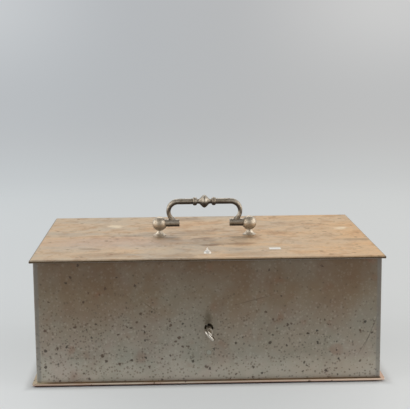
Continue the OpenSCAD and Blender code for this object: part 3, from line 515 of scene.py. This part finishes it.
def handle_nickel(g):
    """Nickel speckled brown and paler on the outer part of each ball, with painted light on faces turned up,
    a painted highlight round the foot of each post, and painted shade on faces turned down.
    """
    place = g.part_place()
    facing = g.axes(g.node("ShaderNodeTexCoord").outputs["Normal"])["Z"]
    x, _, level = g.axes(place)
    above_lid = g.fade(level, lid_high[2] + 0.0002, lid_high[2] + 0.002)
    foot = g.times(above_lid, g.fade(level, lid_high[2] + 0.003, lid_high[2] + 0.006, 1, 0))
    grip = g.fade(level, ball_top, ball_top + 0.004)
    ball = g.times(g.off_middle(x, ball_inner, ball_inner + 0.002),
                   g.fade(level, ball_top, ball_top + 0.001, 1, 0))
    brown = g.use(CLOUDS, place, Width=0.009, Cover=0.5, Softness=0.2)["Mask"]
    colour = g.mix(brown, srgb(194, 184, 168), srgb(150, 135, 115))
    # The foot of each post is painted near white: a painted highlight on its flared rim.
    colour = g.over(colour, srgb(250, 238, 218), foot, 0.8)
    # Faces turned up are painted paler: painted light from above.
    colour = g.over(colour, srgb(230, 222, 208), g.fade(facing, 0.35, 0.85), 0.3)
    specks = g.use(SPECKS, place, Width=0.0014, Cover=0.10, Softness=0.05)["Mask"]
    colour = g.over(colour, srgb(96, 76, 58), specks, 0.55)
    colour = g.over(colour, srgb(240, 222, 196), ball, 0.35)
    lowered = g.math("SUBTRACT", facing, g.times(grip, 0.3))
    # Faces turned down are painted near black: painted shade and a painted dark reflection of the lid
    # beneath, weaker on the balls.
    painted_underside_shade = g.times(g.fade(lowered, -0.55, -0.1, 1, 0), above_lid, g.fade(ball, 0, 1, 1.0, 0.45))
    grain = g.use(GRAIN, place, Width=0.0006)["Height"]
    dull = g.times(g.math("MAXIMUM", specks, painted_underside_shade), 0.25)
    return {
        "Base Color": g.over(colour, srgb(38, 28, 20), painted_underside_shade, 0.9),
        "Roughness": g.math("ADD", g.fade(brown, 0, 1, 0.34, 0.46), dull),
        "Metallic": g.fade(painted_underside_shade, 0, 1, 0.85, 0.2),
        "Normal": g.bump(grain, 0.3, 0.0002),
    }


def bright_stud(g):
    """The pin's turned head, worn pale, with its highlight painted in as a near-white colour."""
    uneven = g.use(CLOUDS, g.part_place(), Width=0.003, Cover=0.5, Softness=0.25)["Mask"]
    return {
        # Near-white colour: the worn head with its highlight painted in.
        "Base Color": g.mix(uneven, srgb(255, 252, 244), srgb(248, 238, 222)),
        "Roughness": g.fade(uneven, 0, 1, 0.25, 0.4),
        "Metallic": 0.25,
        "Normal": g.bump(uneven, 0.1, 0.0001),
    }


def key_nickel(g):
    """Bright, well handled nickel with fine scratches."""
    streaks = g.noise(g.scaled(g.part_place(), (1.0, 0.15, 1.0)), 1800.0, detail=3.0)
    return {
        "Base Color": g.mix(g.fade(streaks, 0.35, 0.7), srgb(214, 208, 198), srgb(160, 150, 134)),
        "Roughness": g.fade(streaks, 0.3, 0.7, 0.24, 0.38),
        "Metallic": 1.0,
        "Normal": g.bump(streaks, 0.1, 0.0001),
    }


def inner_steel(g):
    """Plain steel inside the box, dulled and lightly spotted with rust."""
    place = g.part_place()
    dull = g.use(CLOUDS, place, Width=0.03, Cover=0.5, Softness=0.2)["Mask"]
    colour = g.mix(dull, srgb(168, 164, 156), srgb(128, 120, 108))
    rust = g.use(SPECKS, place, Width=0.004, Cover=0.06, Softness=0.03)["Mask"]
    colour = g.over(colour, srgb(104, 70, 46), rust, 0.7)
    wear = g.use(EDGE_WEAR, place, Width=0.0006, Patchiness=0.46)["Mask"]
    grain = g.use(GRAIN, place, Width=0.0008)["Height"]
    return {
        "Base Color": g.over(colour, srgb(205, 202, 196), wear, 0.6),
        "Roughness": g.fade(dull, 0, 1, 0.38, 0.52),
        "Metallic": 0.85,
        "Normal": g.bump(grain, 0.3, 0.0002),
    }


def lock_brass(g):
    """Cast and turned brass of the lock, browned by old grease, with painted shade deep in the keyhole."""
    place = g.part_place()
    x, y, z = g.axes(place)
    dull = g.use(CLOUDS, place, Width=0.008, Cover=0.5, Softness=0.2)["Mask"]
    colour = g.mix(dull, srgb(208, 176, 104), srgb(152, 118, 66))
    # Painted shade deep in the keyhole, on the parts close behind the front.
    keyhole_shade = g.spot(x, z, (0.0, key_z), (0.0058, 0.0058), 0.12)
    colour = g.over(colour, srgb(20, 15, 11), keyhole_shade, g.fade(y, front_y + 0.006, front_y + 0.007, 1, 0), 0.95)
    turned = g.noise(g.scaled(place, (1.0, 6.0, 1.0)), 900.0, detail=2.0)
    return {
        "Base Color": colour,
        "Roughness": g.fade(dull, 0, 1, 0.26, 0.42),
        "Metallic": 1.0,
        "Normal": g.bump(turned, 0.15, 0.0001),
    }


def dark_steel(g):
    """Screws and nuts of blackened steel, rubbed bright on their edges."""
    place = g.part_place()
    uneven = g.use(CLOUDS, place, Width=0.004, Cover=0.5, Softness=0.25)["Mask"]
    colour = g.mix(uneven, srgb(84, 80, 76), srgb(62, 54, 48))
    wear = g.use(EDGE_WEAR, place, Width=0.0004, Patchiness=0.42)["Mask"]
    return {
        "Base Color": g.over(colour, srgb(170, 166, 160), wear, 0.7),
        "Roughness": g.fade(uneven, 0, 1, 0.34, 0.5),
        "Metallic": 0.8,
        "Normal": g.bump(uneven, 0.15, 0.0001),
    }


def worn_felt(g):
    """Dark maroon felt, matted and dusty."""
    place = g.part_place()
    fibres = g.noise(g.scaled(place, (1.0, 1.0, 3.0)), 2600.0, detail=4.0, rough=0.7, twist=1.5)
    matted = g.noise(place, 60.0, detail=3.0)
    colour = g.mix(g.fade(fibres, 0.3, 0.7), srgb(30, 13, 12), srgb(52, 26, 22))
    return {
        "Base Color": g.over(colour, srgb(66, 44, 38), g.fade(matted, 0.5, 0.75, 0, 0.5)),
        "Roughness": g.fade(fibres, 0.3, 0.7, 0.9, 1.0),
        "Metallic": 0.0,
        "Normal": g.bump(fibres, 0.6, 0.0004),
    }


# The nodes that each finish is on
NODE_FINISHES = {
    plated_wall: ["front_wall", "back_wall", "left_wall", "right_wall", "lock_studs"],
    plated_lid: ["lid_plate"],
    worn_base: ["base_plate"],
    handle_nickel: ["left_hinge_case_leaf", "right_hinge_case_leaf", "left_hinge_lid_leaf",
                    "right_hinge_lid_leaf", "left_hinge_pin", "right_hinge_pin", "hinge_rivets",
                    "left_handle_post", "right_handle_post", "bail"],
    bright_stud: ["lid_stud"],
    key_nickel: ["key"],
    inner_steel: ["corner_angles", "base_angles", "lid_rim_front", "lid_rim_left", "lid_rim_right",
                  "lock_case", "lock_cover", "keeper", "bolt", "drill_pin", "slider_spring", "sliders",
                  "post_washers"],
    lock_brass: ["cover_screws", "bolt_guides", "guide_collars", "locking_ring", "barrel"],
    dark_steel: ["base_screws", "lid_screws", "lock_nuts", "post_nuts"],
    worn_felt: ["base_felt"],
}
MATERIALS = {build: new_finish(build) for build in NODE_FINISHES}


def dress_nodes():
    """Puts the finishes on the carried-over nodes."""
    for finish, nodes in NODE_FINISHES.items():
        for name in nodes:
            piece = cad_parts[name]
            if not piece.material_slots:
                piece.data.materials.append(MATERIALS[finish])
            for slot in piece.material_slots:
                slot.material = MATERIALS[finish]


# Pieces. Their meshes are drawn in millimetres and scaled once.

def corners_mm(node):
    """A node's lowest and highest corners, in millimetres."""
    return tuple(Vector(corner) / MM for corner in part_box(node))


def arc(steps, turn=math.pi / 2):
    """Angles from 0 to turn in even steps, both ends included."""
    return [turn * i / steps for i in range(steps + 1)]


def add_rings(bm, rings):
    """Faces between closed rings of points, where a ring of one point is a pole."""
    loops = [[bm.verts.new(point) for point in ring] for ring in rings]
    turns = max(len(loop) for loop in loops)
    for low, high in zip(loops, loops[1:]):
        for i in range(turns):
            j = (i + 1) % turns
            corners = (low[i % len(low)], low[j % len(low)], high[j % len(high)], high[i % len(high)])
            bm.faces.new(list(dict.fromkeys(corners)))
    for loop in (loops[0], loops[-1]):
        if len(loop) > 1:
            bm.faces.new(loop)


def add_turned(bm, profile, place, turns=64):
    """A closed turned solid round the z axis of place, from (radius, height) pairs."""
    rings = []
    for radius, height in profile:
        angles = [0.0] if radius == 0 else arc(turns, math.tau)[:-1]
        rings.append([place @ Vector((radius * math.cos(a), radius * math.sin(a), height)) for a in angles])
    add_rings(bm, rings)


def add_bar(bm, stations, turns=40):
    """A closed bar along the XZ plane, from (place, direction, thickness / 2, width / 2)."""
    rings = []
    for place, direction, thick, wide in stations:
        side = Vector((-direction.z, 0, direction.x))
        rings.append([place + side * thick * math.cos(a) + Vector((0, wide * math.sin(a), 0))
                      for a in arc(turns, math.tau)[:-1]])
    add_rings(bm, rings)


def raw_object(name, bm):
    """An object from a mesh drawn in millimetres."""
    bmesh.ops.recalc_face_normals(bm, faces=bm.faces)
    bm.transform(Matrix.Scale(MM, 4))
    mesh = bpy.data.meshes.new(name)
    bm.to_mesh(mesh)
    bm.free()
    piece = bpy.data.objects.new(name, mesh)
    bpy.context.scene.collection.objects.link(piece)
    return piece


def combine(piece, tool, operation):
    """Adds the tool's volume to a piece, or cuts it away, and removes the tool."""
    modifier = piece.modifiers.new("combine", "BOOLEAN")
    modifier.object = tool
    modifier.operation = operation
    modifier.solver = "EXACT"
    result = piece.evaluated_get(bpy.context.evaluated_depsgraph_get())
    piece.data = bpy.data.meshes.new_from_object(result)
    piece.modifiers.clear()
    bpy.data.objects.remove(tool)


def finish_piece(piece, finish, body, node, sharp=32):
    """Shades a piece, gives it its finish, and puts it in a node's place on its body."""
    mesh = piece.data
    mesh.polygons.foreach_set("use_smooth", [True] * len(mesh.polygons))
    mesh.set_sharp_from_angle(angle=math.radians(sharp))
    mesh.materials.clear()
    mesh.materials.append(MATERIALS[finish])
    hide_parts(node)
    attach(piece, body)


# Sizes of the handle in millimetres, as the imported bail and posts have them
BARREL_R = 4.2
BARREL_IN = 28
BEAD_R = 7.2
BEAD_HALF = 6.3
NECK_R = 2.75
RING_R = 4.7
RING_X = 10.6
RING_HALF = 2.5
GRIP_R = 3.2
ARM_R = 2.35
ARM_X = 40.2
BEND_R = 11
SWEEP_R = 11.5
POST_NECK_R = 2.8
SHANK_R = 3.0
FOOT_HOLLOW = 0.55
BORE_GAP = 0.06


def grip_stations(grip_z):
    """The right half of the turned grip: bead, neck, ring and plain grip."""
    profile = []
    for t in arc(16, 1.0):
        bell = (0.5 + 0.5 * math.cos(math.pi * t)) ** 0.85
        profile.append((BEAD_HALF * t, NECK_R + (BEAD_R - NECK_R) * bell))
    for a in arc(14, math.pi):
        profile.append((RING_X - RING_HALF * math.cos(a), NECK_R + (RING_R - NECK_R) * math.sin(a)))
    profile.append((RING_X + RING_HALF + 0.35, GRIP_R))
    profile.append((ARM_X - BEND_R - 4, GRIP_R + 0.05))
    return [(Vector((x, 0, grip_z)), Vector((1, 0, 0)), radius, radius) for x, radius in profile]


def arm_stations(grip_z, pivot_z):
    """The right arm: round the bend, then down in a shallow sweep into the barrel."""
    stations = []
    bend_x = ARM_X - BEND_R
    bend_z = grip_z - BEND_R
    for a in arc(14):
        radius = ARM_R + (GRIP_R - ARM_R) * (1 - (a / (math.pi / 2)) ** 1.6)
        place = Vector((bend_x + BEND_R * math.sin(a), 0, bend_z + BEND_R * math.cos(a)))
        stations.append((place, Vector((math.cos(a), 0, -math.sin(a))), radius, radius))
    drop = math.asin((bend_z - pivot_z - 0.7 * BARREL_R) / SWEEP_R)
    for a in arc(12, drop)[1:]:
        swell = (a / drop) ** 3
        place = Vector((ARM_X - SWEEP_R * (1 - math.cos(a)), 0, bend_z - SWEEP_R * math.sin(a)))
        direction = Vector((-math.sin(a), 0, -math.cos(a)))
        stations.append((place, direction, ARM_R + 0.7 * swell, ARM_R + 0.25 * swell))
    return stations


def along_pivot(side, pivot_z):
    """The frame of a solid turned round the bail's pivot, pointing left (-1) or right (1)."""
    return Matrix.Translation((0, 0, pivot_z)) @ Matrix.Rotation(side * math.pi / 2, 4, "Y")


def add_bail():
    """The swinging handle: one turned and bent bar on two pivot barrels."""
    low, high = corners_mm("bail")
    pivot_z = low.z + BARREL_R
    grip_z = high.z - BEAD_R
    right = grip_stations(grip_z) + arm_stations(grip_z, pivot_z)
    left = [(Vector((-place.x, 0, place.z)), Vector((direction.x, 0, -direction.z)), thick, wide)
            for place, direction, thick, wide in right[:0:-1]]
    bm = bmesh.new()
    add_bar(bm, left + right)
    bail = raw_object("turned_bail", bm)
    chamfer = 0.45
    profile = [(0, BARREL_IN), (BARREL_R - chamfer, BARREL_IN), (BARREL_R, BARREL_IN + chamfer),
               (BARREL_R, high.x), (0, high.x)]
    for side in (-1, 1):
        bm = bmesh.new()
        add_turned(bm, profile, along_pivot(side, pivot_z))
        combine(bail, raw_object("barrel_part", bm), "UNION")
    finish_piece(bail, handle_nickel, "bail", "bail")


def add_post(side, node, name):
    """A turned post: threaded shank, bell-shaped foot with a rim, and a bored ball."""
    low, high = corners_mm(node)
    bail_low, bail_high = corners_mm("bail")
    lid_top = lid_high[2] / MM
    ball_r = (high.x - low.x) / 2
    ball_z = high.z - ball_r
    foot_r = ball_r - 0.6
    rim_r, rim_z = foot_r - 0.25, lid_top + 0.9
    start = math.asin(POST_NECK_R / ball_r)
    neck_z = ball_z - ball_r * math.cos(start)
    profile = [(0, low.z), (SHANK_R - 0.5, low.z), (SHANK_R, low.z + 0.5), (SHANK_R, lid_top),
               (foot_r - 0.2, lid_top), (foot_r, lid_top + 0.2), (foot_r, lid_top + 0.6), (rim_r, rim_z)]
    for t in arc(10, 1.0)[1:]:
        hollow = FOOT_HOLLOW * math.sin(math.pi * t)
        profile.append((rim_r + (POST_NECK_R - rim_r) * t - hollow, rim_z + (neck_z - rim_z) * t - hollow))
    for a in arc(40, math.pi - start)[1:]:
        profile.append((ball_r * math.sin(start + a) if a < math.pi - start else 0,
                        ball_z - ball_r * math.cos(start + a)))
    bm = bmesh.new()
    middle_x = side * (abs(low.x) + abs(high.x)) / 2
    add_turned(bm, profile, Matrix.Translation((middle_x, 0, 0)))
    post = raw_object(name, bm)
    bore_r = BARREL_R + BORE_GAP
    bore_end = bail_high.x + BORE_GAP
    mouth = abs(middle_x) - ball_r * 0.86
    bore = [(0, mouth - 4), (bore_r + 0.5, mouth - 4), (bore_r + 0.5, mouth), (bore_r, mouth + 0.5),
            (bore_r, bore_end), (0, bore_end)]
    bm = bmesh.new()
    add_turned(bm, bore, along_pivot(side, bail_low.z + BARREL_R))
    combine(post, raw_object("bore_part", bm), "DIFFERENCE")
    finish_piece(post, handle_nickel, "lid", node)


def add_felt():
    """The felt under the box, cut by hand, and worn short at its right front corner."""
    low, high = corners_mm("base_felt")
    half_x, half_y = high.x, high.y
    corner_r = 3
    spacing = 2.5
    short_by, short_over = 5.5, 22
    edge = []
    for quarter, (right, back) in enumerate(((1, 1), (-1, 1), (-1, -1), (1, -1))):
        middle = Vector((right * (half_x - corner_r), back * (half_y - corner_r)))
        for a in arc(5):
            b = a + quarter * math.pi / 2
            edge.append(middle + corner_r * Vector((math.cos(b), math.sin(b))))
    outline = []
    for start, end in zip(edge, edge[1:] + edge[:1]):
        parts = max(1, round((end - start).length / spacing))
        outline += [start.lerp(end, i / parts) for i in range(parts)]
    layers = ((0.55, low.z), (0.1, low.z + 0.35), (0.0, low.z + 1.1), (0.25, high.z))
    rings = [[] for _ in layers]
    worn_corner = Vector((half_x, -half_y))
    for point in outline:
        waves = noise.noise((point.x * 0.31, point.y * 0.31, 0))
        fray = 0.2 + 0.2 * waves + 0.1 * noise.noise((point.x, point.y, 5))
        worn = short_by * max(0.0, 1 - (point - worn_corner).length / short_over) ** 0.7
        for ring, (inset, z) in zip(rings, layers):
            scale_x = 1 - (fray + inset) / half_x
            scale_y = 1 - (fray + inset) / half_y
            ring.append(Vector((point.x * scale_x - worn, point.y * scale_y, z)))
    bm = bmesh.new()
    add_rings(bm, rings)
    bmesh.ops.triangulate(bm, faces=[face for face in bm.faces if len(face.verts) > 4])
    felt = raw_object("worn_felt_sheet", bm)
    finish_piece(felt, worn_felt, "case", "base_felt", sharp=60)


# Stage

STAGE_REACH = 6.0


def paper_material():
    """Pale grey paper. Near the box it is lit and holds the shadow; far off, its painted tone shows, which
    paints in how the studio light falls off.
    """
    material = bpy.data.materials.new("pale paper")
    material.use_nodes = True
    tree = material.node_tree
    tree.nodes.clear()
    g = Graph(tree)
    place = g.part_place()
    x, y, z = g.axes(place)
    across = g.scaled(place, (1.0, 1.0, 0.0))
    away = g.vector("LENGTH", across, output="Value")
    far = g.math("ADD", away, g.times(z, 2.0))
    # The tone is a painted falloff of light: brightest near the box, dimmer far off and up the wall.
    tone = g.ramp(
        g.math("DIVIDE", far, STAGE_REACH),
        (0.0, srgb(225, 226, 226)), (0.14, srgb(211, 213, 214)), (0.26, srgb(193, 196, 198)),
        (0.42, srgb(187, 188, 190)), (0.70, srgb(182, 184, 187)), (1.0, srgb(186, 187, 190)),
        between="B_SPLINE",
    )
    # Painted light lifts the floor in front of the box and out to the sides.
    aside = g.math("DIVIDE", g.math("ABSOLUTE", x), g.math("MAXIMUM", g.math("ADD", y, 1.15), 0.4))
    near = g.times(g.fade(y, -0.2, 0.05, 0.28, 0.0), g.fade(away, 0.5, 1.2, 1, 0))
    lift = g.math("ADD", g.math("ADD", near, 0.06), g.fade(z, 0.05, 0.55, 0.0, 0.18))
    tone = g.over(tone, srgb(255, 255, 255), g.fade(aside, 0.03, 0.21), lift)
    # A painted tint of the light: cooler on the left, warmer on the right.
    warmth = g.mix(g.fade(x, -0.8, 0.8), srgb(251, 254, 255), srgb(255, 254, 251))
    tone = g.mix(1.0, tone, warmth, "MULTIPLY")
    lit = g.node("ShaderNodeBsdfDiffuse", {"Color": tone}).outputs["BSDF"]
    shown = g.node("ShaderNodeEmission", {"Color": tone}).outputs["Emission"]
    rays = g.node("ShaderNodeLightPath").outputs
    direct = g.math("MAXIMUM", g.math("MAXIMUM", rays["Is Camera Ray"], rays["Is Glossy Ray"]),
                    rays["Is Transmission Ray"])
    gap = g.math("MAXIMUM", g.math("SUBTRACT", g.math("ABSOLUTE", x), base_high[0]),
                 g.math("SUBTRACT", g.math("ABSOLUTE", y), base_high[1]))
    share = g.times(direct, g.fade(away, 0.35, 1.3, 0.55, 1.0), g.fade(gap, 0.0, 0.012))
    surface = g.node("ShaderNodeMixShader", {0: share, 1: lit, 2: shown}).outputs[0]
    output = g.node("ShaderNodeOutputMaterial")
    tree.links.new(surface, output.inputs["Surface"])
    return material


def add_stage():
    """A wide round floor that turns up softly into a low wall all round."""
    floor_r = 3.2
    sweep_r = 0.9
    wall_top = 1.6
    steps = 12
    outline = [(0.8, 0.0), (1.6, 0.0), (floor_r, 0.0)]
    outline += [(floor_r + sweep_r * math.sin(a), sweep_r * (1 - math.cos(a))) for a in arc(steps)[1:]]
    outline.append((floor_r + sweep_r, wall_top))
    mesh = bpy.data.meshes.new("paper_ground")
    bm = bmesh.new()
    turns = 96
    rings = []
    for radius, z in outline:
        rings.append([bm.verts.new((radius * math.cos(a), radius * math.sin(a), z))
                      for a in arc(turns, math.tau)[:-1]])
    middle = bm.verts.new((0, 0, 0))
    for i in range(turns):
        bm.faces.new((middle, rings[0][i], rings[0][(i + 1) % turns]))
        for low, high in zip(rings, rings[1:]):
            bm.faces.new((low[i], high[i], high[(i + 1) % turns], low[(i + 1) % turns]))
    bm.to_mesh(mesh)
    bm.free()
    mesh.polygons.foreach_set("use_smooth", [True] * len(mesh.polygons))
    ground = bpy.data.objects.new("paper_ground", mesh)
    bpy.context.scene.collection.objects.link(ground)
    mesh.materials.append(paper_material())


def add_lamp(name, place, target, size, power):
    """A rectangular lamp that faces its target."""
    data = bpy.data.lights.new(name, "AREA")
    data.shape = "RECTANGLE"
    data.size, data.size_y = size
    data.energy = power
    lamp = bpy.data.objects.new(name, data)
    lamp.location = place
    lamp.rotation_mode = "QUATERNION"
    lamp.rotation_quaternion = (Vector(target) - Vector(place)).to_track_quat("-Z", "Y")
    bpy.context.scene.collection.objects.link(lamp)


def add_light():
    """Broad low panels on both sides and a soft lamp behind, in a room with a darker ceiling."""
    middle = (0.0, 0.0, 0.1)
    add_lamp("back_softbox", (0.0, 1.5, 1.7), middle, (1.8, 0.9), 10)
    add_lamp("left_panel", (-1.5, -0.3, 0.7), middle, (2.4, 1.5), 15)
    add_lamp("right_panel", (1.5, -0.2, 0.7), middle, (2.4, 1.5), 15)
    world = bpy.data.worlds.new("surround")
    world.use_nodes = True
    g = Graph(world.node_tree)
    upward = g.axes(g.node("ShaderNodeTexCoord").outputs["Generated"])["Z"]
    background = world.node_tree.nodes["Background"]
    sky = g.mix(g.fade(upward, 0.25, 0.95), srgb(214, 216, 218), srgb(120, 119, 118))
    g.feed(background.inputs["Color"], sky)
    background.inputs["Strength"].default_value = 1.0
    bpy.context.scene.world = world


add_camera()
dress_nodes()
add_bail()
add_post(-1, "left_handle_post", "left_turned_post")
add_post(1, "right_handle_post", "right_turned_post")
add_felt()
add_stage()
add_light()
bpy.context.scene.view_settings.view_transform = "Standard"
